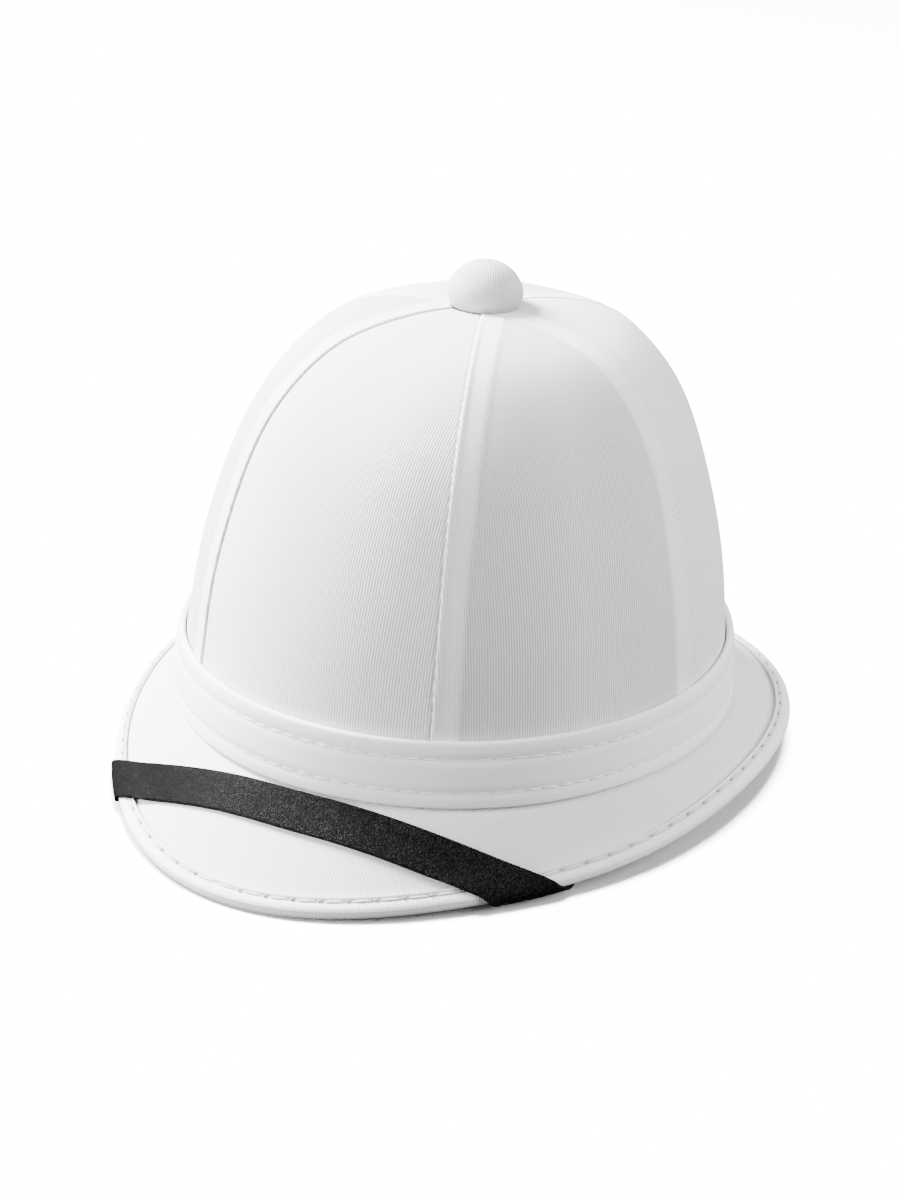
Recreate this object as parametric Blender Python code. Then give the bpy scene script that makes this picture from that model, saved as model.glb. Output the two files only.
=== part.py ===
# Pith helmet: a crown of six fabric panels under a covered button, a hat band round its foot,
# a sloping brim bound with folded tape, and a leatherette chin strap laid over the front brim.
# Metres, +Z up. The helmet faces -Y and stands on z = 0 on the front and the back of its brim.
# The hat's own frame has its origin at the middle of the band's top edge. The whole hat leans
# back in it, because the front of the brim hangs lower than the back.

import math
from collections import namedtuple

import bmesh
import bpy
import numpy as np
from mathutils import Vector

# Crown, measured outside the fabric at the band's top edge
CROWN_HALF_LENGTH = 0.100
CROWN_HALF_WIDTH = 0.0895
CROWN_HEIGHT = 0.118
CROWN_WALL = 0.002
CROWN_FLARE = 0.002
CROWN_SETBACK = 0.0046
SETBACK_BEND = 4
PANEL_COUNT = 6
PANEL_FLATTENING = 0.043

# Button on top
BUTTON_DIAMETER = 0.0256
BUTTON_FOOT_DIAMETER = 0.0230
BUTTON_DOME_HEIGHT = 0.0117
BUTTON_FOOT_HEIGHT = 0.0030
POST_DIAMETER = 0.006
POST_LENGTH = 0.007

# Hat band
BAND_HEIGHT = 0.0228
BAND_THICKNESS = 0.0022
BAND_CORNER = 0.0007

# Brim
BRIM_THICKNESS = 0.0018
BRIM_MARGIN = 0.0005
FRONT_OVERHANG = 0.034
FRONT_DROP = 0.0255

# Tape folded round the brim's edge
BINDING_WIDTH = 0.0061
BINDING_WALL = 0.001
FLATTENED_DEPTH = 0.0004

# Chin strap
STRAP_WIDTH = 0.0135
STRAP_THICKNESS = 0.001
STRAP_CENTRE = math.radians(5.5)
STRAP_HALF_SPAN = math.radians(39.5)
STRAP_BEND = 2.5
STRAP_FOLD_BEND = 3
STRAP_TAIL = 0.019
# The strap climbs onto the binding: the climb's start and length, in widths of the binding's lip
CLIMB_START = 2.5
CLIMB_LENGTH = 1.2

# Gap between pieces that touch
CLEARANCE = 0.0003

# Sections of the crown, from the band's top edge to the button: height as a share of
# CROWN_HEIGHT, radius as a share of the half length and half width
CROWN_SECTIONS = (
    # height, radius
    (0.000, 1.000),
    (0.200, 0.973),
    (0.400, 0.920),
    (0.600, 0.836),
    (0.750, 0.724),
    (0.882, 0.530),
    (0.930, 0.270),
    (0.934, 0.125),
)

# Sections of the brim, every 30 degrees from the front to the back: overhang beyond the band
# as a share of FRONT_OVERHANG, drop below the band as a share of FRONT_DROP
BRIM_SECTIONS = (
    # overhang, drop
    (1.02, 1.00),
    (0.70, 0.89),
    (0.49, 0.71),
    (0.49, 0.41),
    (0.61, 0.29),
    (0.66, 0.39),
    (0.70, 0.52),
)

# Fineness of the meshes
RING_STEPS = 80
PANEL_COLUMNS = 8
PROFILE_STEPS = 2
ROUND_STEPS = 5
STRAP_COLUMNS = 4
STRAP_STEPS = 14
UNDER_STEPS = 6
RIM_STEPS = 3
WALL_STEPS = 5
BUTTON_STEPS = 32

# Colour, roughness and metallic value of each material
MATERIALS = {
    "white_fabric": ((0.90, 0.90, 0.90, 1.0), 0.85, 0.0),
    "black_leatherette": ((0.012, 0.012, 0.014, 1.0), 0.42, 0.0),
}

PANEL_ANGLE = 2 * math.pi / PANEL_COUNT
BAND_FOOT = CROWN_FLARE + CLEARANCE + BAND_THICKNESS
SHELF_HEIGHT = -BAND_HEIGHT - CLEARANCE
BRIM_START = BAND_FOOT + BRIM_MARGIN
EDGE_INSIDE = BRIM_THICKNESS / 2 + CLEARANCE
EDGE_RADIUS = EDGE_INSIDE + BINDING_WALL
TOP_SHARE = CROWN_SECTIONS[-1][0]
BUTTON_SEAT = CROWN_HEIGHT * TOP_SHARE + CLEARANCE


def clear_scene():
    for old in list(bpy.data.objects):
        bpy.data.objects.remove(old, do_unlink=True)


def make_material(name):
    colour, roughness, metallic = MATERIALS[name]
    material = bpy.data.materials.new(name)
    material.use_nodes = True
    shader = material.node_tree.nodes["Principled BSDF"]
    shader.inputs["Base Color"].default_value = colour
    shader.inputs["Roughness"].default_value = roughness
    shader.inputs["Metallic"].default_value = metallic
    return material


def add_object(name, mesh_data, material, collection, parent):
    bmesh.ops.recalc_face_normals(mesh_data, faces=mesh_data.faces)
    mesh = bpy.data.meshes.new(name)
    mesh_data.to_mesh(mesh)
    mesh_data.free()
    mesh.materials.append(material)
    mesh.shade_smooth()
    mesh.set_sharp_from_angle(angle=math.radians(40))
    piece = bpy.data.objects.new(name, mesh)
    piece.parent = parent
    collection.objects.link(piece)
    return piece


# A smooth curve through the rows of a table, with the given steps between two rows
def curve_through(rows, steps):
    rows = [np.array(row, dtype=float) for row in rows]
    padded = [2 * rows[0] - rows[1]] + rows + [2 * rows[-1] - rows[-2]]
    points = []
    for start in range(len(rows) - 1):
        before, here, there, after = padded[start:start + 4]
        for step in range(steps):
            u = step / steps
            points.append(0.5 * (
                2 * here
                + (there - before) * u
                + (2 * before - 5 * here + 4 * there - after) * u ** 2
                + (3 * here - before - 3 * there + after) * u ** 3
            ))
    points.append(rows[-1])
    return np.array(points)


# A closed smooth curve round the hat, the same on its left and right, through the values given
# at equal angles from the front to the back
def value_round_hat(values, angle):
    orders = np.arange(len(values))
    rows = np.cos(np.outer(orders * math.pi / (len(values) - 1), orders))
    weights = np.linalg.solve(rows, values)
    return float(weights @ np.cos(orders * angle))


# A point at an angle from the front, a distance outside the crown's foot and a height
def hat_point(angle, outward, height):
    return Vector((
        (CROWN_HALF_WIDTH + outward) * math.sin(angle),
        -(CROWN_HALF_LENGTH + outward) * math.cos(angle),
        height,
    ))


# How far the crown has moved back at a share of its height
def setback(height):
    return CROWN_SETBACK * height ** SETBACK_BEND


# Stations run along the crown's profile, from 0 at the crown's lower edge, through 1 at the
# band's top edge, to the button
PROFILE = curve_through(CROWN_SECTIONS, PROFILE_STEPS)
LAST_STATION = len(PROFILE)


def crown_surface(angle, station):
    if station < 1:
        flare = CROWN_FLARE * (1 - station)
        return hat_point(angle, flare, -BAND_HEIGHT * (1 - station))
    stations = np.arange(1, LAST_STATION + 1)
    height = float(np.interp(station, stations, PROFILE[:, 0]))
    radius = float(np.interp(station, stations, PROFILE[:, 1]))
    between_seams = (1 - math.cos(PANEL_COUNT * (angle - PANEL_ANGLE / 2))) / 2
    radius *= 1 - PANEL_FLATTENING * height * between_seams
    return Vector((
        CROWN_HALF_WIDTH * radius * math.sin(angle),
        setback(height) - CROWN_HALF_LENGTH * radius * math.cos(angle),
        CROWN_HEIGHT * height,
    ))


def crown_normal(angle, station):
    nearby = 0.01
    low, high = max(station - nearby, 0), min(station + nearby, LAST_STATION)
    around = crown_surface(angle + nearby, station) - crown_surface(angle - nearby, station)
    upward = crown_surface(angle, high) - crown_surface(angle, low)
    return around.cross(upward).normalized()


# One panel of the crown: a flat block in panel coordinates (across, up, inward), bent to shape
def panel_mesh(middle_angle):
    stations = [0, 0.5] + list(range(1, LAST_STATION + 1))
    panel = bmesh.new()
    bmesh.ops.create_grid(
        panel, x_segments=PANEL_COLUMNS, y_segments=len(stations) - 1, size=0.5
    )
    grown = bmesh.ops.extrude_face_region(panel, geom=panel.faces[:])
    for item in grown["geom"]:
        if isinstance(item, bmesh.types.BMVert):
            item.co.z = 1
    for vertex in panel.verts:
        across, up, inward = vertex.co
        station = stations[round((up + 0.5) * (len(stations) - 1))]
        seam_point = crown_surface(middle_angle + PANEL_ANGLE / 2, station)
        seam_radius = seam_point.xy.length
        half_angle = PANEL_ANGLE / 2 - CLEARANCE / 2 / seam_radius
        angle = middle_angle + 2 * across * half_angle
        depth = CROWN_WALL * inward
        vertex.co = crown_surface(angle, station) - crown_normal(angle, station) * depth
    return panel


# Points of an arc in a section plane, from one direction to another, both in radians
def arc(centre, radius, start, end, steps=ROUND_STEPS):
    points = []
    for step in range(steps + 1):
        turn = start + (end - start) * step / steps
        points.append(centre + radius * np.array((math.cos(turn), math.sin(turn))))
    return points


# A solid lofted through closed sections, which are lists of the same number of points. The
# last section joins the first, or else both ends are capped.
def loft(sections, closed):
    solid = bmesh.new()
    rings = [[solid.verts.new(point) for point in section] for section in sections]
    count = len(rings[0])
    pairs = list(zip(rings, rings[1:] + rings[:1])) if closed else list(zip(rings, rings[1:]))
    for here, there in pairs:
        for corner in range(count):
            after = (corner + 1) % count
            solid.faces.new((here[corner], here[after], there[after], there[corner]))
    if not closed:
        solid.faces.new(rings[0])
        solid.faces.new(rings[-1])
    return solid


# A ring round the hat with its own section of (outward, height) points at each angle
def ring(section_at):
    sections = []
    for step in range(RING_STEPS):
        angle = 2 * math.pi * step / RING_STEPS
        section = section_at(angle)
        sections.append([hat_point(angle, outward, height) for outward, height in section])
    return loft(sections, closed=True)


def button_mesh():
    post_radius = POST_DIAMETER / 2
    foot_radius = BUTTON_FOOT_DIAMETER / 2
    middle = BUTTON_SEAT + BUTTON_FOOT_HEIGHT
    outline = [(0, BUTTON_SEAT - POST_LENGTH), (post_radius, BUTTON_SEAT - POST_LENGTH)]
    outline += [(post_radius, BUTTON_SEAT), (foot_radius, BUTTON_SEAT)]
    dome_steps = 2 * ROUND_STEPS
    for step in range(dome_steps):
        rise = math.pi / 2 * step / dome_steps
        radius = BUTTON_DIAMETER / 2 * math.cos(rise)
        outline.append((radius, middle + BUTTON_DOME_HEIGHT * math.sin(rise)))
    outline.append((0, middle + BUTTON_DOME_HEIGHT))
    button = bmesh.new()
    axis_place = setback(TOP_SHARE)
    corners = [button.verts.new((radius, axis_place, height)) for radius, height in outline]
    edges = [button.edges.new(pair) for pair in zip(corners, corners[1:])]
    bmesh.ops.spin(
        button, geom=corners + edges, cent=(0, axis_place, 0), axis=(0, 0, 1),
        angle=2 * math.pi, steps=BUTTON_STEPS, use_merge=True,
    )
    bmesh.ops.remove_doubles(button, verts=button.verts, dist=CLEARANCE / 100)
    return button


def band_section(angle):
    inner_foot = CROWN_FLARE + CLEARANCE
    inner_top = CLEARANCE
    roll = BAND_THICKNESS / 2
    top = np.array((inner_top + roll, -roll))
    foot = -BAND_HEIGHT
    outer_foot = inner_foot + BAND_THICKNESS
    corner = np.array((outer_foot - BAND_CORNER, foot + BAND_CORNER))
    section = [(inner_foot, foot)]
    section += arc(corner, BAND_CORNER, -math.pi / 2, 0, 2)
    section += arc(top, roll, 0, math.pi, 4)
    return section


# The brim's section at an angle: where its slope starts, the middle of its rounded edge, the
# directions along the slope and square to it, and the turn of the latter in radians
BrimLines = namedtuple("BrimLines", "start edge along square upright")


def brim_lines(angle):
    overhang = FRONT_OVERHANG * value_round_hat([row[0] for row in BRIM_SECTIONS], angle)
    drop = FRONT_DROP * value_round_hat([row[1] for row in BRIM_SECTIONS], angle)
    start = np.array((BRIM_START, SHELF_HEIGHT))
    length = math.hypot(overhang, drop)
    along = np.array((overhang, -drop)) / length
    square = np.array((drop, overhang)) / length
    edge = start + along * (length - EDGE_RADIUS) - square * BRIM_THICKNESS / 2
    return BrimLines(start, edge, along, square, math.atan2(square[1], square[0]))


def brim_section(angle):
    lines = brim_lines(angle)
    through = lines.square * BRIM_THICKNESS
    edge_top, edge_foot = lines.edge + through / 2, lines.edge - through / 2
    rim = np.array((0, SHELF_HEIGHT))
    section = [rim, lines.start, (lines.start + edge_top) / 2]
    section += arc(lines.edge, BRIM_THICKNESS / 2, lines.upright, lines.upright - math.pi, 4)
    section += [(lines.start - through + edge_foot) / 2, lines.start - through]
    section.append(rim - (0, BRIM_THICKNESS))
    return section


def binding_section(angle):
    lines = brim_lines(angle)
    top, foot = lines.upright, lines.upright - math.pi
    lip = lines.edge - lines.along * (BINDING_WIDTH - EDGE_RADIUS)
    outside, inside = lines.square * EDGE_RADIUS, lines.square * EDGE_INSIDE
    section = [lip + outside]
    section += arc(lines.edge, EDGE_RADIUS, top, foot)
    section += [lip - outside, lip - inside]
    section += arc(lines.edge, EDGE_INSIDE, foot, top)
    section.append(lip + inside)
    return section


# The direction that is square to the floor, seen in the hat's own frame
def floor_direction():
    front, back = brim_lines(0).edge, brim_lines(math.pi).edge
    length = hat_point(math.pi, *back).y - hat_point(0, *front).y
    lean = math.atan2(back[1] - front[1], length)
    return lean, Vector((0, -math.sin(lean), math.cos(lean)))


# The binding is pressed flat where it meets the floor, at the front and the back
def binding_mesh():
    binding = ring(binding_section)
    square = floor_direction()[1]
    floor = min(vertex.co.dot(square) for vertex in binding.verts) + FLATTENED_DEPTH
    everything = binding.verts[:] + binding.edges[:] + binding.faces[:]
    cut = bmesh.ops.bisect_plane(
        binding, geom=everything, plane_co=square * floor, plane_no=square, clear_inner=True
    )
    edges = [item for item in cut["geom_cut"] if isinstance(item, bmesh.types.BMEdge)]
    bmesh.ops.edgenet_fill(binding, edges=edges)
    return binding, floor


# A point of the strap at an angle, in one of the stretches of its way round the brim, at a
# share of that stretch, lifted off the surface that it lies on
def strap_point(angle, stretch, share, lift):
    lines = brim_lines(angle)
    rim = np.array((0, SHELF_HEIGHT - BRIM_THICKNESS))
    if stretch == "slope":
        slope = lines.edge + lines.square * BRIM_THICKNESS / 2 - lines.start
        length = np.linalg.norm(slope)
        lip = BINDING_WIDTH - EDGE_RADIUS
        climb = (CLIMB_START - length * (1 - share) / lip) / CLIMB_LENGTH
        climb = min(max(climb, 0), 1)
        over_binding = (CLEARANCE + BINDING_WALL) * climb * climb * (3 - 2 * climb)
        place = lines.start + slope * share + lines.square * (over_binding + lift)
    elif stretch == "edge":
        turn = lines.upright - math.pi * share
        place = arc(lines.edge, EDGE_RADIUS + lift, turn, turn, 1)[0]
    elif stretch == "under":
        outer_end = lines.edge - lines.square * (EDGE_RADIUS + lift)
        inner_end = rim - (0, lift)
        place = outer_end + (inner_end - outer_end) * share
    elif stretch == "rim":
        turn = -math.pi / 2 * (1 + share)
        place = arc(rim, lift, turn, turn, 1)[0]
    else:
        rise = (BRIM_THICKNESS + CLEARANCE + STRAP_TAIL) * share
        inside_crown = max(rise - BRIM_THICKNESS - CLEARANCE, 0)
        place = rim + (-CROWN_FLARE * inside_crown / BAND_HEIGHT - lift, rise)
    return hat_point(angle, *place)


# The strap's rows on one side, from the middle of the front out to its end inside the crown.
# A row gives a stretch, then the angle and the share of that stretch at both long edges. On
# the slope the rows turn from square across the strap to level with the brim's edge, so that
# the strap folds round that edge along straight lines.
def strap_rows(side):
    lines = brim_lines(STRAP_CENTRE)
    middle_share = (STRAP_WIDTH / 2 + CLEARANCE) / np.linalg.norm(lines.edge - lines.start)
    outer_share = 1 - middle_share
    rows = []
    for step in range(STRAP_STEPS + 1):
        t = step / STRAP_STEPS
        angle = STRAP_CENTRE + side * STRAP_HALF_SPAN * t
        lines = brim_lines(angle)
        length = np.linalg.norm(lines.edge - lines.start)
        radius = hat_point(angle, *lines.edge).xy.length
        share = middle_share + outer_share * t ** STRAP_BEND
        rise = outer_share * STRAP_BEND * t ** (STRAP_BEND - 1) * length
        slant = math.atan2(rise, radius * STRAP_HALF_SPAN)
        shear = STRAP_WIDTH * t ** STRAP_FOLD_BEND / math.tan(slant) if step else 0
        outward = -STRAP_WIDTH * math.cos(slant) + shear * math.sin(slant)
        onward = STRAP_WIDTH * math.sin(slant) + shear * math.cos(slant)
        turn, slide = side * onward / radius / 2, outward / length / 2
        rows.append(("slope", angle - turn, angle + turn, share - slide, share + slide))
    under = strap_point(angle, "under", 0, 0) - strap_point(angle, "under", 1, 0)
    stretches = (
        # stretch, way, steps
        ("edge", math.pi * EDGE_RADIUS, 2 * ROUND_STEPS),
        ("under", under.length, UNDER_STEPS),
        ("rim", CLEARANCE, RIM_STEPS),
        ("wall", BRIM_THICKNESS + CLEARANCE + STRAP_TAIL, WALL_STEPS),
    )
    for stretch, way, steps in stretches:
        for step in range(steps):
            share = (step + 1) / steps
            radius = strap_point(angle, stretch, share, CLEARANCE).xy.length
            angle += side * way / steps / math.tan(slant) / radius
            turn = side * STRAP_WIDTH / math.sin(slant) / radius / 2
            rows.append((stretch, angle - turn, angle + turn, share, share))
    return rows


def strap_mesh():
    left, right = strap_rows(-1), strap_rows(1)
    sections = []
    for stretch, outer_angle, inner_angle, outer_share, inner_share in left[:0:-1] + right:
        below, above = [], []
        for column in range(STRAP_COLUMNS + 1):
            across = column / STRAP_COLUMNS
            angle = outer_angle + (inner_angle - outer_angle) * across
            share = outer_share + (inner_share - outer_share) * across
            below.append(strap_point(angle, stretch, share, CLEARANCE))
            above.append(strap_point(angle, stretch, share, CLEARANCE + STRAP_THICKNESS))
        sections.append(below + above[::-1])
    return loft(sections, closed=False)


# The hat leans back on its brim, with the lowest edge on the floor and its box centred
def stand_on_floor(hat_frame, binding, floor):
    lean = floor_direction()[0]
    hat_frame.rotation_euler.x = -lean
    depths = [
        corner.co.y * math.cos(lean) + corner.co.z * math.sin(lean)
        for corner in binding.data.vertices
    ]
    hat_frame.location = (0, -(min(depths) + max(depths)) / 2, -floor)


def build_helmet():
    clear_scene()
    collection = bpy.data.collections.new("pith_helmet")
    bpy.context.scene.collection.children.link(collection)
    fabric = make_material("white_fabric")
    leatherette = make_material("black_leatherette")
    hat_frame = bpy.data.objects.new("hat_frame", None)
    collection.objects.link(hat_frame)

    def add(name, mesh_data, material):
        return add_object(name, mesh_data, material, collection, hat_frame)

    for number in range(PANEL_COUNT):
        add(f"crown_panel_{number + 1}", panel_mesh(number * PANEL_ANGLE), fabric)
    add("top_button", button_mesh(), fabric)
    add("hat_band", ring(band_section), fabric)
    add("brim", ring(brim_section), fabric)
    binding_data, floor = binding_mesh()
    binding = add("brim_binding", binding_data, fabric)
    add("chin_strap", strap_mesh(), leatherette)
    stand_on_floor(hat_frame, binding, floor)
    bpy.context.view_layer.update()


build_helmet()
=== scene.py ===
import math

import bmesh
import bpy
from mathutils import Matrix, Vector, noise
from mathutils.bvhtree import BVHTree


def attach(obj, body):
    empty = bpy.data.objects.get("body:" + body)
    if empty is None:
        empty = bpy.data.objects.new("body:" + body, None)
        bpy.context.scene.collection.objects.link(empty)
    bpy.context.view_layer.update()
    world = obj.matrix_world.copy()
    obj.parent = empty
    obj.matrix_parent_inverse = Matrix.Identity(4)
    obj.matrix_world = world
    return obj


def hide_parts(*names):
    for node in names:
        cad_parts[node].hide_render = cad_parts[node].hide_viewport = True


# Pith helmet in white twill with a black leatherette chin strap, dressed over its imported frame
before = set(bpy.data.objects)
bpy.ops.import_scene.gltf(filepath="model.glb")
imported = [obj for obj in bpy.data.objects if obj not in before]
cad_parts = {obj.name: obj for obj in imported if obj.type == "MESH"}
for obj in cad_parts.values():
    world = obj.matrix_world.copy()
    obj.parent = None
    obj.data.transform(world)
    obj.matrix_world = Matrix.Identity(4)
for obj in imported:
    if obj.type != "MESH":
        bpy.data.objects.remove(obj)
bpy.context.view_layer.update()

# The hat leans back on its brim. Its own frame has its origin at the middle of the band's top
# edge and its front towards -Y, and shapes are worked in that frame.
hat = {
    "lean": 2.593,                          # degrees
    "origin": (0, 0.00735, 0.04356),
    "middle": (0, 0.002, 0.045),            # a point inside the crown that sees all of it
    "farOut": 0.3,
    "seamAngles": (-24, 76),                # how low and how high seams are followed, in degrees
    "seamSteps": 59,
    "halvings": 14,                         # of an angle, to find a seam
    "levelSteps": 180,                      # of a line round the hat
}
toWorld = Matrix.Translation(hat["origin"]) @ Matrix.Rotation(-math.radians(hat["lean"]), 4, "X")
toHat = toWorld.inverted()


def angleOf(point):                         # round the hat, from the front towards +X
    return math.atan2(point.x, -point.y)


def nearAngle(angle, wanted):               # the same angle, within half a turn of another
    return angle + 2 * math.pi * round((wanted - angle) / (2 * math.pi))


def outwards(angle, lift=0.0):              # a direction round the hat, lifted off level
    level = math.cos(lift)
    return Vector((level * math.sin(angle), -level * math.cos(angle), math.sin(lift)))


def ease(value, start, end):                # a soft step from 0 to 1
    t = min(max((value - start) / (end - start), 0), 1)
    return t * t * (3 - 2 * t)


def turningPoint(holds, low, high):         # where a test that holds at low stops holding
    for _ in range(hat["halvings"]):
        middle = (low + high) / 2
        if holds(middle):
            low = middle
        else:
            high = middle
    return low


# Surfaces of the frame

meshing = {
    "acrossShare": 0.7,                     # of an edge that runs round the hat
    "mergeWithin": 0.00001,
    "quadFold": math.radians(40),           # how far two triangles fold and still make one quad
    "quadSkew": math.radians(60),
    "creaseAngle": math.radians(60),
    "sharpAngle": math.radians(50),
}


def isAcross(edge):
    start, end = edge.verts[0].co, edge.verts[1].co
    turn = nearAngle(angleOf(end), angleOf(start)) - angleOf(start)
    radius = (start.xy.length + end.xy.length) / 2
    return abs(turn) * radius > meshing["acrossShare"] * edge.calc_length()


def mergedCopy(nodeName):                   # a CAD node's mesh as quads, in the hat's frame
    shape = bmesh.new()
    shape.from_mesh(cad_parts[nodeName].data)
    shape.transform(toHat)
    bmesh.ops.remove_doubles(shape, verts=shape.verts, dist=meshing["mergeWithin"])
    bmesh.ops.join_triangles(
        shape, faces=shape.faces,
        angle_face_threshold=meshing["quadFold"], angle_shape_threshold=meshing["quadSkew"],
    )
    return shape


def surfaceTree(nodeName):
    surface = mergedCopy(nodeName)
    tree = BVHTree.FromBMesh(surface)
    surface.free()
    return tree


def makeMesh(name, shape):
    mesh = bpy.data.meshes.new(name)
    shape.to_mesh(mesh)
    shape.free()
    return mesh


def rounded(shape, levels):                 # subdivided, with its sharp edges kept
    crease = shape.edges.layers.float.new("crease_edge")
    for edge in shape.edges:
        if edge.is_manifold and edge.calc_face_angle() > meshing["creaseAngle"]:
            edge[crease] = 1
    holder = bpy.data.objects.new("rounding", makeMesh("rounding", shape))
    bpy.context.scene.collection.objects.link(holder)
    subdivision = holder.modifiers.new("subdivision", "SUBSURF")
    subdivision.levels = levels
    subdivision.render_levels = levels
    depsgraph = bpy.context.evaluated_depsgraph_get()
    fine = bpy.data.meshes.new_from_object(holder.evaluated_get(depsgraph))
    bpy.data.objects.remove(holder)
    result = bmesh.new()
    result.from_mesh(fine)
    bpy.data.meshes.remove(fine)
    result.normal_update()
    return result


def cutLongEdges(shape, longest, cuts, chosen):
    edges = [edge for edge in shape.edges if edge.calc_length() > longest and chosen(edge)]
    bmesh.ops.subdivide_edges(shape, edges=edges, cuts=cuts, use_grid_fill=True)


def unwrap(shape, place):                   # place gives the cloth's coordinates in metres
    layer = shape.loops.layers.uv.new("cloth")
    for face in shape.faces:
        middle = angleOf(face.calc_center_median())
        for loop in face.loops:
            point = loop.vert.co
            loop[layer].uv = place(point, nearAngle(angleOf(point), middle))


def finishPiece(name, shape, material, nodes=()):
    shape.transform(toWorld)
    mesh = makeMesh(name, shape)
    mesh.materials.append(material)
    mesh.shade_smooth()
    mesh.set_sharp_from_angle(angle=meshing["sharpAngle"])
    piece = bpy.data.objects.new(name, mesh)
    bpy.context.scene.collection.objects.link(piece)
    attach(piece, "root")
    if nodes:
        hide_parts(*nodes)
    return piece


# Shader maths: a Signal is one number that varies over the surface, and its operators add
# Math nodes to the material

class Signal:
    def __init__(self, finish, socket):
        self.finish, self.socket = finish, socket

    def maths(self, operation, *values):
        return self.finish.add("ShaderNodeMath", {"operation": operation}, values)

    def __add__(self, other):
        return self.maths("ADD", self, other)

    def __sub__(self, other):
        return self.maths("SUBTRACT", self, other)

    def __rsub__(self, other):
        return self.maths("SUBTRACT", other, self)

    def __mul__(self, other):
        return self.maths("MULTIPLY", self, other)

    __radd__ = __add__

    def wave(self, length):                 # -1 to 1, once each length
        return self.maths("SINE", self * (2 * math.pi / length))

    def inside(self, edge, softness):       # 1 below the edge and 0 above it
        return self.finish.add(
            "ShaderNodeMapRange", {"interpolation_type": "SMOOTHSTEP"},
            {"Value": self, "From Min": edge - softness, "From Max": edge + softness,
             "To Min": 1.0, "To Max": 0.0},
        )


class Finish:
    def __init__(self, name):
        self.material = bpy.data.materials.new(name)
        self.material.use_nodes = True
        self.tree = self.material.node_tree
        self.surface = self.tree.nodes["Principled BSDF"]

    def feed(self, socket, value):
        if isinstance(value, Signal):
            self.tree.links.new(value.socket, socket)
        else:
            socket.default_value = value

    def add(self, kind, settings, values, output=0):
        node = self.tree.nodes.new(kind)
        for setting, value in settings.items():
            setattr(node, setting, value)
        pairs = values.items() if isinstance(values, dict) else enumerate(values)
        for key, value in pairs:
            self.feed(node.inputs[key], value)
        return Signal(self, node.outputs[output])

    def set(self, **values):
        for key, value in values.items():
            self.feed(self.surface.inputs[key.replace("_", " ")], value)

    def clothCoordinates(self):
        place = self.add("ShaderNodeUVMap", {"uv_map": "cloth"}, [])
        across = self.add("ShaderNodeSeparateXYZ", {}, [place])
        return across, Signal(self, across.socket.node.outputs[1])

    def ownPlace(self):
        return self.add("ShaderNodeTexCoord", {}, [], "Object")

    def noise(self, size, detail=2.0, roughness=0.5):
        values = {"Vector": self.ownPlace(), "Scale": 1 / size,
                  "Detail": detail, "Roughness": roughness}
        return self.add("ShaderNodeTexNoise", {}, values)

    def attribute(self, name):
        return self.add("ShaderNodeAttribute", {"attribute_name": name}, [], "Fac")

    def mixColour(self, share, first, second):
        values = {0: share}
        for key, colour in ((6, first), (7, second)):
            values[key] = colour if isinstance(colour, Signal) else (*colour, 1)
        return self.add("ShaderNodeMix", {"data_type": "RGBA"}, values, 2)

    def bump(self, height, distance):
        values = {"Height": height, "Distance": distance, "Strength": 1.0}
        return self.add("ShaderNodeBump", {}, values)


# Cloth

twill = {
    "light": (0.93, 0.93, 0.925),
    "furrowAndShade": (0.50, 0.50, 0.51),
    "ribPitch": 0.00090,
    "pickPitch": 0.00047,
    "ribDepth": 0.000045,
    "drift": 0.0012,                        # how far the ribs wander, and the wander's size
    "driftSize": 0.03,
    "fibreSize": 0.0004,
    "fibreDetail": 3.0,
    "fibreRoughness": 0.6,
    "cloudSize": 0.022,                     # of the slow changes in shade
    "pickShare": 0.3,                       # of the ribs' depth
    "dark": 0.34,                           # how far the cloth is from light to its furrow and shade colour
    "ribPaintedShading": 0.32,
    "fibreDark": 0.35,
    "cloudDark": 0.14,
    "roughness": 0.82,
    "specular": 0.25,
    "sheen": 0.12,
}


# Ribs run along the cloth's second coordinate. A relief is in metres, and a shade is added to
# how dark the cloth is. Both are made by functions of the cloth's finish; the shades passed in are
# painted shade and painted light.
def twillFinish(name, ribbing, tone, relief=None, shade=None):
    cloth = Finish(name)
    across, along = cloth.clothCoordinates()
    drift = (cloth.noise(twill["driftSize"]) - 0.5) * twill["drift"]
    ribs = (across + drift).wave(twill["ribPitch"]) * ribbing
    picks = along.wave(twill["pickPitch"]) * (twill["pickShare"] * ribbing)
    fibres = cloth.noise(twill["fibreSize"], twill["fibreDetail"], twill["fibreRoughness"]) - 0.5
    clouds = cloth.noise(twill["cloudSize"]) - 0.5
    height = (ribs + picks + fibres) * twill["ribDepth"]
    if relief is not None:
        height = height + relief(cloth)
    # Painted shading of the ribs: the furrows darker in colour, the ridges lighter
    dark = twill["dark"] + tone - ribs * twill["ribPaintedShading"]
    dark = dark + fibres * twill["fibreDark"] + clouds * twill["cloudDark"]
    if shade is not None:
        dark = dark + shade(cloth)
    dark = cloth.add("ShaderNodeClamp", {}, [dark])
    cloth.set(
        Base_Color=cloth.mixColour(dark, twill["light"], twill["furrowAndShade"]),
        Roughness=twill["roughness"],
        Normal=cloth.bump(height, 1.0),
        Sheen_Weight=twill["sheen"],
        Specular_IOR_Level=twill["specular"],
    )
    return cloth.material


threads = {
    "segments": 8,                          # of the mesh of a bead, round it and along it
    "rings": 6,
    "strandSize": 0.0003,
    "strandDepth": 0.00005,
    "roughness": 0.6,
    "white": [(0.93, 0.93, 0.93), (0.80, 0.80, 0.80)],
    # dark beads between the stitches: painted shade in the needle holes
    "holeShade": [(0.30, 0.30, 0.30), (0.45, 0.45, 0.45)],
}


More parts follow.
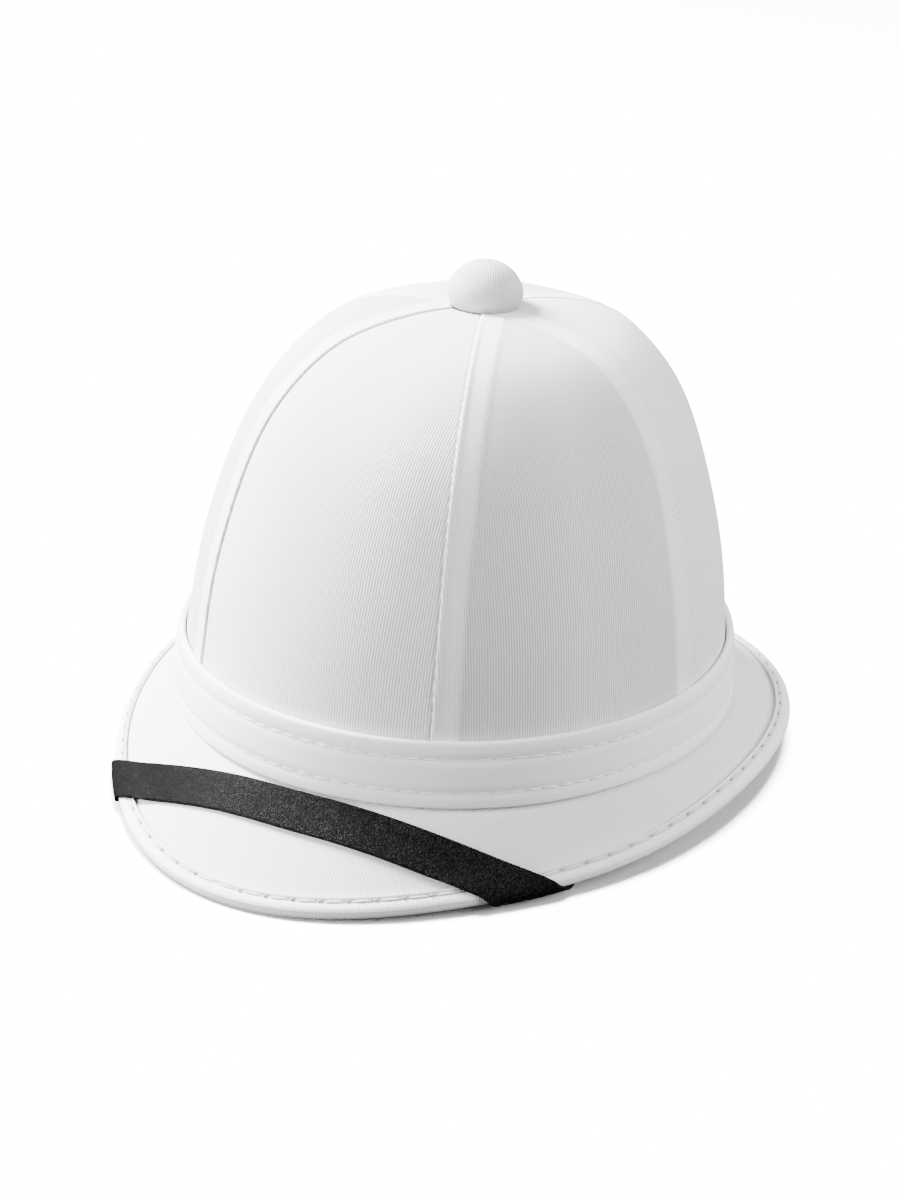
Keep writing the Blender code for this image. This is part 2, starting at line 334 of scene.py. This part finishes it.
def threadFinish(name, colours):
    yarn = Finish(name)
    strands = yarn.noise(threads["strandSize"])
    yarn.set(
        Base_Color=yarn.mixColour(strands, *colours),
        Roughness=threads["roughness"],
        Normal=yarn.bump(strands, threads["strandDepth"]),
    )
    return yarn.material


# Seams between the panels, found by looking at the crown from far outside

panelNames = [f"crown_panel_{number}" for number in range(1, 7)]
panelTurn = 2 * math.pi / len(panelNames)
crownSurfaces = [surfaceTree(name) for name in panelNames]


def seenFrom(angle, lift, surface):         # the first point of a surface on the way in
    direction = outwards(angle, lift)
    start = Vector(hat["middle"]) + direction * hat["farOut"]
    return surface.ray_cast(start, -direction)[0]


def seamLine(number):                       # between panel number and the next
    guess = (number + 0.5) * panelTurn
    surface = crownSurfaces[number]
    lowest, highest = hat["seamAngles"]
    points = []
    for step in range(hat["seamSteps"] + 1):
        lift = math.radians(lowest + (highest - lowest) * step / hat["seamSteps"])
        angle = turningPoint(
            lambda turn: seenFrom(turn, lift, surface) is not None,
            guess - panelTurn / 3, guess + panelTurn / 3,
        )
        point = seenFrom(angle, lift, surface)
        if point is not None:
            points.append(point)
    return points


def evenly(points, pitch, closed, shift=0.0):   # places a pitch apart on a line, with directions
    if closed:
        points = points + points[:1]
        total = sum((b - a).length for a, b in zip(points, points[1:]))
        pitch = total / round(total / pitch)
    places = []
    wanted, walked = pitch * (0.5 + shift), 0
    for start, end in zip(points, points[1:]):
        step = (end - start).length
        while step > 0 and wanted <= walked + step:
            share = (wanted - walked) / step
            places.append((start.lerp(end, share), (end - start).normalized()))
            wanted += pitch
        walked += step
    return places


def addBead(shape, place, along, up, size):     # a long low bead that follows the surface
    turn = Matrix((along, up.cross(along), up)).transposed().to_4x4()
    stretch = Matrix.Diagonal((size["length"] / 2, size["width"] / 2, size["width"] / 2, 1))
    bmesh.ops.create_uvsphere(
        shape, u_segments=threads["segments"], v_segments=threads["rings"], radius=1,
        matrix=Matrix.Translation(place + up * size["lift"]) @ turn @ stretch,
    )


def beadRow(name, lines, pitch, size, surface, material, shift=0.0):
    shape = bmesh.new()
    for points, closed in lines:
        for place, along in evenly(points, pitch, closed, shift):
            near, up = surface.find_nearest(place)[:2]
            along = (along - up * along.dot(up)).normalized()
            addBead(shape, near, along, up, size)
    return finishPiece(name, shape, material)


def sew(name, lines, seam, surface):            # a row of stitches, with dark beads between them as painted shade in the needle holes
    beadRow(name + "Stitches", lines, seam["pitch"], seam["stitch"], surface, thread)
    beadRow(name + "HoleShades", lines, seam["pitch"], seam["holeShade"], surface, needleHoleShade, shift=0.5)


def declareSheet(cut):     # reads the area of a flat cut, and declares nothing
    cut.get("area")


# Crown panels. Every other panel is folded over its neighbours, and its seam allowance shows
# through the cloth as a faint raised strip. The strip is also lighter in colour, partly for the
# double cloth and partly as painted light, and the seams and the cloth beyond the strip get painted
# shade.

crown = {
    "levels": 3,
    "fineWithin": 0.004,                    # of a seam, where the mesh is cut finer
    "fineEdge": 0.0005,
    "fineCuts": 2,
    "gap": 0.0003,                          # what the frame leaves between two panels
    "closing": 0.001,                       # how far from a seam its two sides are drawn together
    "ridgePlace": 0.0008,
    "ridgeWidth": 0.0007,
    "ridgeHeight": 0.00038,
    "grooveWidth": 0.0009,
    "grooveDepth": 0.0006,
    "stripWidth": 0.0072,
    "stripEdge": 0.0013,
    "stripHeight": 0.0004,
    "valleyWidth": 0.055,                   # beyond a strip, where the cloth is in its shade
    "seamLine": 0.00025,
    "seamPaintedShade": 0.15,
    "stripPaintedLight": 0.3,
    "valleyPaintedShade": 0.38,
    "puckerReach": 0.0025,
    "puckerHeight": 0.00003,
    "ribMiddle": 0.11,                      # radius that the panels' length is measured at
    "pressing": 0.75,                       # how much flatter the seams are at the back
    "pressedFrom": (-0.03, 0.01),           # where that starts and ends, along the hat
    "outerSide": 0.25,                      # how far outwards a face of the outer side looks
    "unevenness": 0.0003,
    "unevenPerMetre": 28,
    "pitch": 0.0047,
    "stitch": {"length": 0.0012, "width": 0.00034, "lift": -0.00004},
    "holeShade": {"length": 0.0008, "width": 0.00034, "lift": 0.00004},
    "middleCut": {"flat": (0.097, 0.189), "area": 0.0131},      # the front and back panels
    "sideCut": {"flat": (0.109, 0.166), "area": 0.0138},
}


# Painted shade and light on the panels: a dark line along each seam, a lighter seam allowance strip,
# and shade on the cloth beyond the strip
def seamPaintedLightAndShade(cloth):
    strip = cloth.attribute("strip")
    seam = cloth.attribute("seamGap").inside(crown["seamLine"], crown["seamLine"])
    shade = seam * (1 - strip) * crown["seamPaintedShade"] - strip * crown["stripPaintedLight"]
    return shade + cloth.attribute("valleyShade") * crown["valleyPaintedShade"]


def seamRelief(cloth):
    puckers = cloth.clothCoordinates()[1].wave(crown["pitch"]) * crown["puckerHeight"]
    return puckers * cloth.attribute("seamGap").inside(crown["puckerReach"], crown["puckerReach"])


def overRise(gap):                          # of a panel that lies over its neighbours
    ridge = math.exp(-((gap - crown["ridgePlace"]) / crown["ridgeWidth"]) ** 2)
    stripEnd = crown["stripWidth"] + crown["stripEdge"]
    strip = 1 - ease(gap, crown["stripWidth"], stripEnd)
    valleyShade = (1 - strip) * (1 - ease(gap, stripEnd, stripEnd + crown["valleyWidth"]))
    return ridge * crown["ridgeHeight"] + strip * crown["stripHeight"], strip, valleyShade


def underRise(gap):
    return -crown["grooveDepth"] * max(1 - gap / crown["grooveWidth"], 0) ** 2, 0, 0


def crownPanel(number, material):
    name = panelNames[number]
    neighbours = [crownSurfaces[number - 1], crownSurfaces[(number + 1) % len(panelNames)]]
    middle = Vector(hat["middle"])

    def nearest(point):                     # the neighbours' nearest point, and how far it is
        return min((tree.find_nearest(point)[::3] for tree in neighbours), key=lambda n: n[1])

    shape = rounded(mergedCopy(name), crown["levels"])
    close = {v for v in shape.verts if nearest(v.co)[1] < crown["fineWithin"]}
    cutLongEdges(shape, crown["fineEdge"], crown["fineCuts"],
                 lambda edge: close.issuperset(edge.verts) and isAcross(edge))
    shape.normal_update()
    seamGap = shape.verts.layers.float.new("seamGap")
    stripShare = shape.verts.layers.float.new("strip")
    valleyShare = shape.verts.layers.float.new("valleyShade")
    riseAt = overRise if number % 2 == 1 else underRise
    moves = []
    for vertex in shape.verts:
        neighbour, distance = nearest(vertex.co)
        gap = max(distance - crown["gap"], 0)
        closing = max(1 - gap / crown["closing"], 0) / 2
        move = (neighbour - vertex.co) * closing
        rise, vertex[stripShare], vertex[valleyShare] = riseAt(gap)
        rise *= 1 - crown["pressing"] * ease(vertex.co.y, *crown["pressedFrom"])
        vertex[seamGap] = gap
        outside = (vertex.co - middle).normalized()
        if vertex.normal.dot(outside) > crown["outerSide"]:
            swell = noise.noise(vertex.co * crown["unevenPerMetre"])
            move += outside * (rise + crown["unevenness"] * swell)
        moves.append((vertex, move))
    for vertex, move in moves:
        vertex.co += move
    centre = number * panelTurn

    def place(point, angle):
        turn = nearAngle(angle, centre) - centre
        out = point - middle
        return point.xy.length * turn, math.atan2(out.z, out.xy.length) * crown["ribMiddle"]

    unwrap(shape, place)
    pieceName = name.replace("crown_panel", "crownPanel")
    panel = finishPiece(pieceName, shape, material, [name])
    cut = crown["middleCut"] if number % 3 == 0 else crown["sideCut"]
    declareSheet(cut)


panelCloth = twillFinish("panelTwill", ribbing=1.15, tone=0.0, relief=seamRelief, shade=seamPaintedLightAndShade)
thread = threadFinish("whiteThread", threads["white"])
needleHoleShade = threadFinish("needleHoleShade", threads["holeShade"])
for number in range(len(panelNames)):
    crownPanel(number, panelCloth)
print("crown panels made")

wholeCrown = bmesh.new()
for name in panelNames:
    wholeCrown.from_mesh(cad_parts[name].data)
wholeCrown.transform(toHat)
crownTree = BVHTree.FromBMesh(wholeCrown)
wholeCrown.free()
sew("seam", [(seamLine(number), False) for number in range(len(panelNames))], crown, crownTree)
print("seams sewn")

# Button

button = {
    "levels": 2,
    "weaveTurn": math.radians(38),
    "footHeight": 0.0012,                   # how much of its foot is drawn down onto the crown
    "seating": 0.0005,
    "shadeHeight": 0.009,                   # painted shade: the cloth gets darker towards the foot
    "footPaintedShade": 1.3,
    "steepness": 2,                         # how much a way down counts against a way out
}


# painted shade, darker towards the button's foot
def buttonPaintedShade(cloth):
    return (1 - cloth.attribute("rise")) * button["footPaintedShade"]


def coveredButton(material):
    shape = mergedCopy("top_button")
    top = max(vertex.co.z for vertex in shape.verts)
    axis = Vector((0, sum(v.co.y for v in shape.verts) / len(shape.verts), 0))
    widest = max((v.co - axis).xy.length for v in shape.verts)
    seat = min(v.co.z for v in shape.verts if (v.co - axis).xy.length > widest / 2)
    shape = rounded(shape, button["levels"])
    riseShare = shape.verts.layers.float.new("rise")
    for vertex in shape.verts:
        rise = vertex.co.z - seat
        vertex[riseShare] = ease(rise, 0, button["shadeHeight"])
        if (vertex.co - axis).xy.length > widest / 2:
            vertex.co.z -= button["seating"] * max(1 - rise / button["footHeight"], 0)

    def place(point, angle):
        flat = point - axis
        reach = (flat.xy.length ** 2 + button["steepness"] * (top - point.z) ** 2) ** 0.5
        turn = math.atan2(flat.x, flat.y) + button["weaveTurn"]
        return reach * math.sin(turn), reach * math.cos(turn)

    unwrap(shape, place)
    return finishPiece("coveredButton", shape, material, ["top_button"])


# The button's cloth is toned darker than the panels', as painted shade.
coveredButton(twillFinish("buttonTwill", ribbing=1.9, tone=0.46, shade=buttonPaintedShade))
print("button covered")

# Hat band

band = {
    "longest": 0.015,
    "cuts": 11,
    "levels": 2,
    "topRow": 0.0058,                       # below the band's top edge
    "footRow": 0.0058,                      # above its foot
    "rowDepth": 0.00045,
    "rowWidth": 0.0014,
    "puff": 0.00055,
    "ripple": 0.0004,
    "ripplesOut": 22,                       # how many to a metre, out from the hat and up
    "ripplesUp": 30,
    "outerSide": 0.1,
    "radius": 0.096,                        # that the band's length is measured at
    "pitch": 0.0058,
    "stitch": {"length": 0.0040, "width": 0.00050, "lift": 0.00002},
    "holeShade": {"length": 0.0008, "width": 0.00036, "lift": 0.00003},
    "footLift": 0.0006,
    "footHeight": 0.004,
    "cut": {"flat": (0.024, 0.624)},
}
bandFrame = mergedCopy("hat_band")
bandTop = max(vertex.co.z for vertex in bandFrame.verts)
bandFoot = min(vertex.co.z for vertex in bandFrame.verts)
bandFrame.free()
bandTree = surfaceTree("hat_band")
rowHeights = [bandTop - band["topRow"], bandFoot + band["footRow"]]


def bandRing():
    shape = mergedCopy("hat_band")
    cutLongEdges(shape, band["longest"], band["cuts"], lambda edge: True)
    shape = rounded(shape, band["levels"])
    for vertex in shape.verts:
        point = vertex.co
        outside = outwards(angleOf(point))
        if vertex.normal.dot(outside) < band["outerSide"]:
            continue
        row = min(abs(point.z - height) for height in rowHeights)
        share = (point.z - bandFoot) / (bandTop - bandFoot)
        rise = band["puff"] * math.sin(math.pi * min(max(share, 0), 1)) ** 0.5
        rise -= band["rowDepth"] * math.exp(-(row / band["rowWidth"]) ** 2)
        around = Vector((*(point.xy * band["ripplesOut"]), share))
        rise += band["ripple"] * noise.noise(around)
        vertex.co += outside * rise
        vertex.co.z += band["ripple"] * noise.noise(point * band["ripplesUp"]) * (1 - share)
        vertex.co.z += band["footLift"] * max(1 - (point.z - bandFoot) / band["footHeight"], 0)

    unwrap(shape, lambda point, angle: (point.z, angle * band["radius"]))
    return shape


def levelLine(height, surface):             # round the hat on a surface, at one height
    points = []
    for step in range(hat["levelSteps"]):
        direction = outwards(2 * math.pi * step / hat["levelSteps"])
        start = Vector((0, 0, height)) + direction * hat["farOut"]
        points.append(surface.ray_cast(start, -direction)[0])
    return points


# The band's cloth is toned lighter than the panels', as painted light.
bandTwill = twillFinish("bandTwill", ribbing=0.2, tone=-0.28)
bandCloth = finishPiece("bandCloth", bandRing(), bandTwill, ["hat_band"])
declareSheet(band["cut"])
rows = [(levelLine(height, bandTree), True) for height in rowHeights]
sew("band", rows, band, bandTree)
print("band made")

# Brim and its binding

brim = {
    "longest": 0.006,
    "cuts": 2,
    "levels": 2,
    "unevenness": 0.0003,
    "unevenPerMetre": 24,
    "ribRadius": 0.115,                     # that the ribs' pitch is measured at
    "cut": {"flat": (0.232, 0.278), "area": 0.0203},
}
binding = {
    "longest": 0.0025,
    "cuts": 4,
    "levels": 2,
    "searchFrom": 0.095,
    "searchStep": 0.0001,
    "ridgePlace": 0.0005,                   # distances from the tape's inner lip
    "rowPlace": 0.0014,
    "reach": 0.0052,
    "ridgeWidth": 0.0005,
    "ridgeHeight": 0.00035,
    "rowDepth": 0.00040,
    "rowSquares": (0.0000003, 0.0000002),   # of distances from the row, where its shade ends
    "rowPaintedShade": 0.5,
    "lineBefore": 0.0006,                   # the line starts this far inside the lip
    "lineEdge": 0.0004,
    "lipPaintedShade": 0.5,
    "topSide": 0.3,                         # how far upwards a face of the top side looks
    "puff": 0.00035,
    "pitch": 0.0087,
    "stitch": {"length": 0.0066, "width": 0.00060, "lift": 0.00005},
    "holeShade": {"length": 0.0017, "width": 0.00080, "lift": 0.00008},
    "cut": {"flat": (0.0135, 0.772)},
}
bindingTree = surfaceTree("brim_binding")
brimTree = surfaceTree("brim")


def seenFromAbove(angle, radius, surface):
    start = outwards(angle) * radius + Vector((0, 0, hat["farOut"]))
    return surface.ray_cast(start, Vector((0, 0, -1)))[0]


def tapeOnTop(angle, radius):
    tape, cloth = (seenFromAbove(angle, radius, tree) for tree in (bindingTree, brimTree))
    return tape is not None and (cloth is None or tape.z > cloth.z)


def findLip(angle):                         # the radius of the tape's inner lip on the top side
    lip = binding["searchFrom"]
    while not tapeOnTop(angle, lip):
        lip += binding["searchStep"]
    return lip


lipTurns = [2 * math.pi * step / hat["levelSteps"] for step in range(hat["levelSteps"])]
lipRadii = [findLip(turn) for turn in lipTurns]


def pastLip(point):                         # how far outside the tape's lip a point lies
    turn = angleOf(point) / (2 * math.pi) * len(lipRadii)
    before = math.floor(turn)
    here, there = (lipRadii[(before + n) % len(lipRadii)] for n in (0, 1))
    return point.xy.length - here - (there - here) * (turn - before)


def wholeRibs(radius):                      # a radius whose circumference is a number of ribs
    ribs = round(2 * math.pi * radius / twill["ribPitch"])
    return ribs * twill["ribPitch"] / (2 * math.pi)


def markLip(shape):
    lipGap = shape.verts.layers.float.new("lipGap")
    for vertex in shape.verts:
        vertex[lipGap] = pastLip(vertex.co)


def brimPaintedShade(cloth):                       # painted shade: a thin dark line under the tape's lip
    past = cloth.attribute("lipGap") + binding["lineBefore"]
    return (1 - past.inside(0, binding["lineEdge"])) * binding["lipPaintedShade"]


# painted shade along the groove of the tape's stitch row
def tapePaintedShade(cloth):
    row = cloth.attribute("lipGap") - binding["rowPlace"]
    return (row * row).inside(*binding["rowSquares"]) * binding["rowPaintedShade"]


def brimRing():
    shape = mergedCopy("brim")
    cutLongEdges(shape, brim["longest"], brim["cuts"], lambda edge: not isAcross(edge))
    shape = rounded(shape, brim["levels"])
    ribRadius = wholeRibs(brim["ribRadius"])
    for vertex in shape.verts:
        vertex.co.z += brim["unevenness"] * noise.noise(vertex.co * brim["unevenPerMetre"])
    markLip(shape)
    unwrap(shape, lambda point, angle: (angle * ribRadius, point.xy.length))
    return shape


def tapeRise(past):
    ridge = math.exp(-((past - binding["ridgePlace"]) / binding["ridgeWidth"]) ** 2)
    row = math.exp(-((past - binding["rowPlace"]) / binding["ridgeWidth"]) ** 2)
    puffed = (past - binding["rowPlace"]) / (binding["reach"] - binding["rowPlace"])
    puff = math.sin(math.pi * min(max(puffed, 0), 1))
    return ridge * binding["ridgeHeight"] - row * binding["rowDepth"] + puff * binding["puff"]


def bindingRing():
    shape = mergedCopy("brim_binding")
    cutLongEdges(shape, binding["longest"], binding["cuts"], lambda edge: not isAcross(edge))
    shape = rounded(shape, binding["levels"])
    markLip(shape)
    ribRadius = wholeRibs(brim["ribRadius"])
    for vertex in shape.verts:
        if vertex.normal.z > binding["topSide"]:
            vertex.co += vertex.normal * tapeRise(pastLip(vertex.co))
    unwrap(shape, lambda point, angle: (angle * ribRadius, point.z + point.xy.length))
    return shape


def tapeLine(inset):                        # on the binding, a way in from its inner lip
    return [seenFromAbove(turn, lip + inset, bindingTree) for turn, lip in zip(lipTurns, lipRadii)]


brimTwill = twillFinish("brimTwill", ribbing=0.45, tone=0.16, shade=brimPaintedShade)
tapeTwill = twillFinish("tapeTwill", ribbing=0.4, tone=-0.2, shade=tapePaintedShade)
brimCloth = finishPiece("brimCloth", brimRing(), brimTwill, ["brim"])
brimTape = finishPiece("brimTape", bindingRing(), tapeTwill, ["brim_binding"])
declareSheet(brim["cut"])
declareSheet(binding["cut"])
sew("tape", [(tapeLine(binding["rowPlace"]), True)], binding, bindingTree)
print("brim bound")

# Chin strap

strap = {
    "levels": 2,
    "colour": (0.0018, 0.0018, 0.0019),
    "litEnd": (0.0024, 0.0024, 0.0025),
    # the colour of painted glints on the grain
    "glintColour": (0.040, 0.040, 0.040),
    "grain": 0.00075,
    "glintSize": 0.00036,
    "reach": 0.12,                          # radius that the strap's length is measured at
    "grainDepth": 0.00014,
    "pebble": (0.16, 0.16),                 # a pebble's edge, and how soft it is
    "glintLevel": (0.60, 0.05),             # the same of a painted glint
    "glintsFrom": (-0.022, 0.018),          # where the painted glints start, along the strap from the front
    "litEndUpTo": (-0.085, 0.03),             # where the lighter end stops: painted light on the end that faces the light
    "rubSize": 0.012,
    "leastGlints": 0.1,
    "roughness": 0.34,
    "pebbleRough": 0.16,
    "rubRough": 0.12,
    "specular": 0.022,
    "cut": {"flat": (0.0135, 0.369)},
}


def leatheretteFinish():
    hide = Finish("blackLeatherette")
    cells = hide.add(
        "ShaderNodeTexVoronoi", {"feature": "DISTANCE_TO_EDGE"},
        {"Vector": hide.ownPlace(), "Scale": 1 / strap["grain"], "Randomness": 1.0}, "Distance",
    )
    pebbles = cells.inside(*strap["pebble"])
    rubbedAndGlinting = hide.noise(strap["rubSize"], 3.0)
    glints = 1 - hide.noise(strap["glintSize"], 1.0).inside(*strap["glintLevel"])
    length = hide.clothCoordinates()[0]
    glinting = 1 - length.inside(*strap["glintsFrom"])
    # Painted glints: light specks on the grain, more where the rubbed wear is and only past where
    # they start
    paintedGlints = glints * glinting * (rubbedAndGlinting + strap["leastGlints"])
    # painted light: the strap's ground is lighter at its end towards -X
    ground = hide.mixColour(length.inside(*strap["litEndUpTo"]), strap["colour"], strap["litEnd"])
    hide.set(
        Base_Color=hide.mixColour(paintedGlints, ground, strap["glintColour"]),
        Roughness=strap["roughness"] + pebbles * strap["pebbleRough"] + rubbedAndGlinting * strap["rubRough"],
        Normal=hide.bump(1 - pebbles, strap["grainDepth"]),
        Specular_IOR_Level=strap["specular"],
    )
    return hide.material


def strapStrip():
    shape = rounded(mergedCopy("chin_strap"), strap["levels"])
    unwrap(shape, lambda point, angle: (angle * strap["reach"], point.xy.length))
    return shape


leatherette = leatheretteFinish()
chinStrap = finishPiece("chinStrap", strapStrip(), leatherette, ["chin_strap"])
declareSheet(strap["cut"])
print("strap laid")

# Floor, lights and camera

studio = {
    "aim": (0, 0, 0.08),
    "paper": (0.60, 0.60, 0.60),
    "paperRoughness": 0.9,
    "bounce": (0.36, 0.36, 0.36),
    "bounceDepth": 0.001,
    "paperSize": 6,
    "world": 0.22,
    "key": {"place": (-1.25, -0.02, 1.10), "size": 0.8, "power": 300},
    "fill": {"place": (-1.00, -1.20, 0.50), "size": 0.8, "power": 60},
    "rim": {"place": (1.28, 0.56, 0.80), "size": 1.2, "power": 44},
    "top": {"place": (0, 0.2, 1.6), "size": 1.4, "power": 14},
    "paperLight": {"place": (-0.06, 0.28, 2.0), "size": 0.9, "power": 1050},
}


def softLight(name, place, size, power):
    light = bpy.data.lights.new(name, "AREA")
    light.shape = "DISK"
    light.size = size
    light.energy = power
    lamp = bpy.data.objects.new(name, light)
    lamp.location = place
    lamp.rotation_euler = (Vector(studio["aim"]) - Vector(place)).to_track_quat("-Z", "Y").to_euler()
    bpy.context.scene.collection.objects.link(lamp)
    return lamp


def paperSheet(name, colour):
    shape = bmesh.new()
    bmesh.ops.create_grid(shape, x_segments=1, y_segments=1, size=studio["paperSize"])
    sheet = bpy.data.objects.new(name, makeMesh(name, shape))
    bpy.context.scene.collection.objects.link(sheet)
    paper = Finish(name)
    paper.set(
        Base_Color=(*colour, 1), Roughness=studio["paperRoughness"], Specular_IOR_Level=0.0,
    )
    sheet.data.materials.append(paper.material)
    return sheet


# The floor is overexposed, as in the photograph, by a light of its own. What shines back up
# onto the hat comes from a second sheet in the same place, which only the hat's rays see.
def paleFloor():
    floor = paperSheet("floor", studio["paper"])
    floor.visible_diffuse = False
    floor.visible_glossy = False
    bounce = paperSheet("floorBounce", studio["bounce"])
    bounce.location.z = -studio["bounceDepth"]
    bounce.visible_camera = False
    bounce.visible_shadow = False
    lamp = softLight("paperLight", **studio["paperLight"])
    lit = bpy.data.collections.new("paperOnly")
    lit.objects.link(floor)
    lamp.light_linking.receiver_collection = lit


# The photograph's view: where the hat's origin lies in its frame of 900 x 1200, and the scale there
view = {
    "azimuth": 31.74,
    "elevation": 26.05,
    "roll": 2.07,
    "distance": 0.90,
    "frameWidth": 900,
    "frameHeight": 1200,
    "pixelsPerMetre": 2904,
    "originPixel": (459.6, 613.7),
    "sensor": 36,
}


def photoCamera():
    azimuth, elevation, roll = (math.radians(view[k]) for k in ("azimuth", "elevation", "roll"))
    level = math.cos(elevation)
    back = Vector((math.sin(azimuth) * level, -math.cos(azimuth) * level, math.sin(elevation)))
    right = Vector((math.cos(azimuth), math.sin(azimuth), 0))
    up = back.cross(right)
    tiltedRight = right * math.cos(roll) + up * math.sin(roll)
    tiltedUp = up * math.cos(roll) - right * math.sin(roll)
    lens = bpy.data.cameras.new("photoCamera")
    focal = view["pixelsPerMetre"] * view["distance"]
    lens.sensor_width = view["sensor"]
    lens.lens = focal / view["frameHeight"] * view["sensor"]
    lens.shift_x = (view["frameWidth"] / 2 - view["originPixel"][0]) / view["frameHeight"]
    lens.shift_y = (view["originPixel"][1] - view["frameHeight"] / 2) / view["frameHeight"]
    camera = bpy.data.objects.new("photoCamera", lens)
    turn = Matrix((tiltedRight, tiltedUp, back)).transposed().to_4x4()
    camera.matrix_world = Matrix.Translation(Vector(hat["origin"]) + back * view["distance"]) @ turn
    bpy.context.scene.collection.objects.link(camera)
    bpy.context.scene.camera = camera


paleFloor()
world = bpy.data.worlds.new("studio")
world.use_nodes = True
world.node_tree.nodes["Background"].inputs["Color"].default_value = (1, 1, 1, 1)
world.node_tree.nodes["Background"].inputs["Strength"].default_value = studio["world"]
bpy.context.scene.world = world
softLight("keyLight", **studio["key"])
softLight("fillLight", **studio["fill"])
softLight("rimLight", **studio["rim"])
softLight("topLight", **studio["top"])
photoCamera()
print("studio set")
